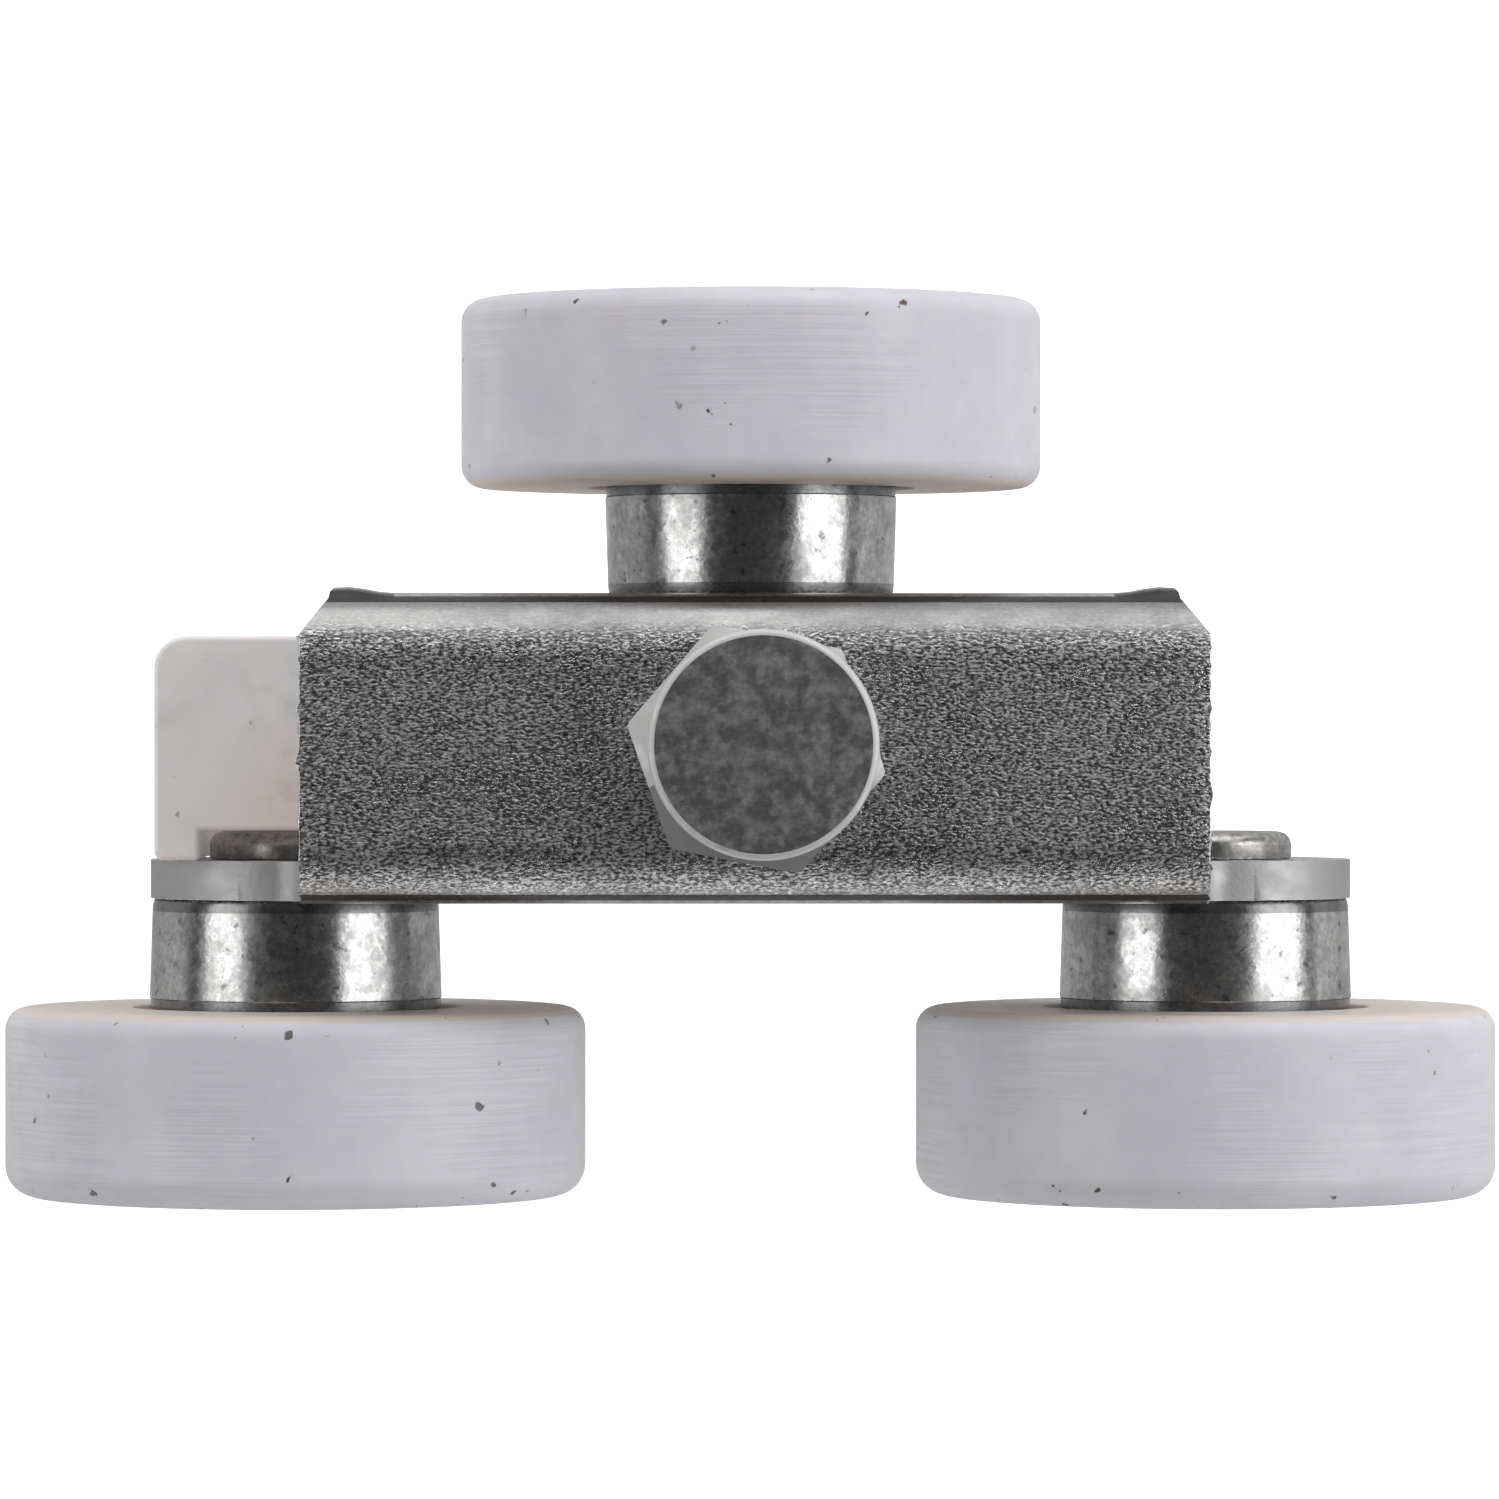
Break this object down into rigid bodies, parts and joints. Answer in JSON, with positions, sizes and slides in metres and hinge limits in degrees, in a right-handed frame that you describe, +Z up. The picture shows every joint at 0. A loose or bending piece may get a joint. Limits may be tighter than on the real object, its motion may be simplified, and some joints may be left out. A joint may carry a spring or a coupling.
{
  "type": "sliding door roller",
  "caption": "Overhead sliding door roller: folded steel carriage on nylon ball-bearing wheels with a swivelling hanger bolt.",
  "frame": {"origin": "on the hanger bolt's axis, at the height of the wheel axles", "axes": "+X along the track, +Y towards the flange with the single wheel, +Z up along the bolt"},
  "size_m": [0.0654, 0.0392, 0.0485],
  "materials": {
    "zinc_sheet": "zinc plated, mill rolled",
    "zinc_bright": "bright zinc plated, drawn",
    "zinc_bolt": "dull zinc plated, forged",
    "rivet_steel": "plain steel, cold headed",
    "bearing_steel": "polished, lightly oiled",
    "white_nylon": "milky, fine turning marks"
  },
  "bodies": {
    "carriage": {"bracket": "zinc_sheet", "nylon_bumper": "white_nylon", "inner_race_single": "bearing_steel", "spacer_collar_single": "zinc_bright", "axle_rivet_single": "rivet_steel", "inner_race_left": "bearing_steel", "spacer_collar_left": "zinc_bright", "axle_rivet_left": "rivet_steel", "inner_race_right": "bearing_steel", "spacer_collar_right": "zinc_bright", "axle_rivet_right": "rivet_steel"},
    "wheel_single": {"nylon_wheel_single": "white_nylon", "outer_race_single": "bearing_steel", "dust_shield_single": "zinc_bright"},
    "balls_single": {"bearing_balls_single": "bearing_steel"},
    "wheel_left": {"nylon_wheel_left": "white_nylon", "outer_race_left": "bearing_steel", "dust_shield_left": "zinc_bright"},
    "balls_left": {"bearing_balls_left": "bearing_steel"},
    "wheel_right": {"nylon_wheel_right": "white_nylon", "outer_race_right": "bearing_steel", "dust_shield_right": "zinc_bright"},
    "balls_right": {"bearing_balls_right": "bearing_steel"},
    "bolt": {"hanger_bolt": "zinc_bolt", "retaining_ring": "zinc_bolt"},
    "washer": {"lock_washer": "zinc_bolt"},
    "nut": {"adjusting_nut": "zinc_bolt"}
  },
  "joints": [
    {"name": "wheel_single_spin", "type": "hinge", "parent": "carriage", "child": "wheel_single", "pos_m": [0, 0.01547, 0], "axis": [0, 1, 0], "continuous": true},
    {"name": "balls_single_spin", "type": "hinge", "parent": "carriage", "child": "balls_single", "pos_m": [0, 0.01547, 0], "axis": [0, 1, 0], "continuous": true},
    {"name": "wheel_left_spin", "type": "hinge", "parent": "carriage", "child": "wheel_left", "pos_m": [-0.01995, -0.01547, 0], "axis": [0, 1, 0], "continuous": true},
    {"name": "balls_left_spin", "type": "hinge", "parent": "carriage", "child": "balls_left", "pos_m": [-0.01995, -0.01547, 0], "axis": [0, 1, 0], "continuous": true},
    {"name": "wheel_right_spin", "type": "hinge", "parent": "carriage", "child": "wheel_right", "pos_m": [0.01995, -0.01547, 0], "axis": [0, 1, 0], "continuous": true},
    {"name": "balls_right_spin", "type": "hinge", "parent": "carriage", "child": "balls_right", "pos_m": [0.01995, -0.01547, 0], "axis": [0, 1, 0], "continuous": true},
    {"name": "bolt_swivel", "type": "hinge", "parent": "carriage", "child": "bolt", "pos_m": [0, 0, 0], "axis": [0, 0, 1], "continuous": true},
    {"name": "nut_travel", "type": "slide", "parent": "bolt", "child": "washer", "axis": [0, 0, 1], "range_m": [-0.0127, 0.00254]},
    {"name": "nut_turn", "type": "hinge", "parent": "washer", "child": "nut", "pos_m": [0, 0, 0], "axis": [0, 0, 1], "range_deg": [-3600, 720]}
  ],
  "couplings": [
    {"joint": "balls_single_spin", "follows": "wheel_single_spin", "ratio": 0.6451},
    {"joint": "balls_left_spin", "follows": "wheel_left_spin", "ratio": 0.6451},
    {"joint": "balls_right_spin", "follows": "wheel_right_spin", "ratio": 0.6451},
    {"joint": "nut_turn", "follows": "nut_travel", "rad_per_m": 4947.4}
  ]
}
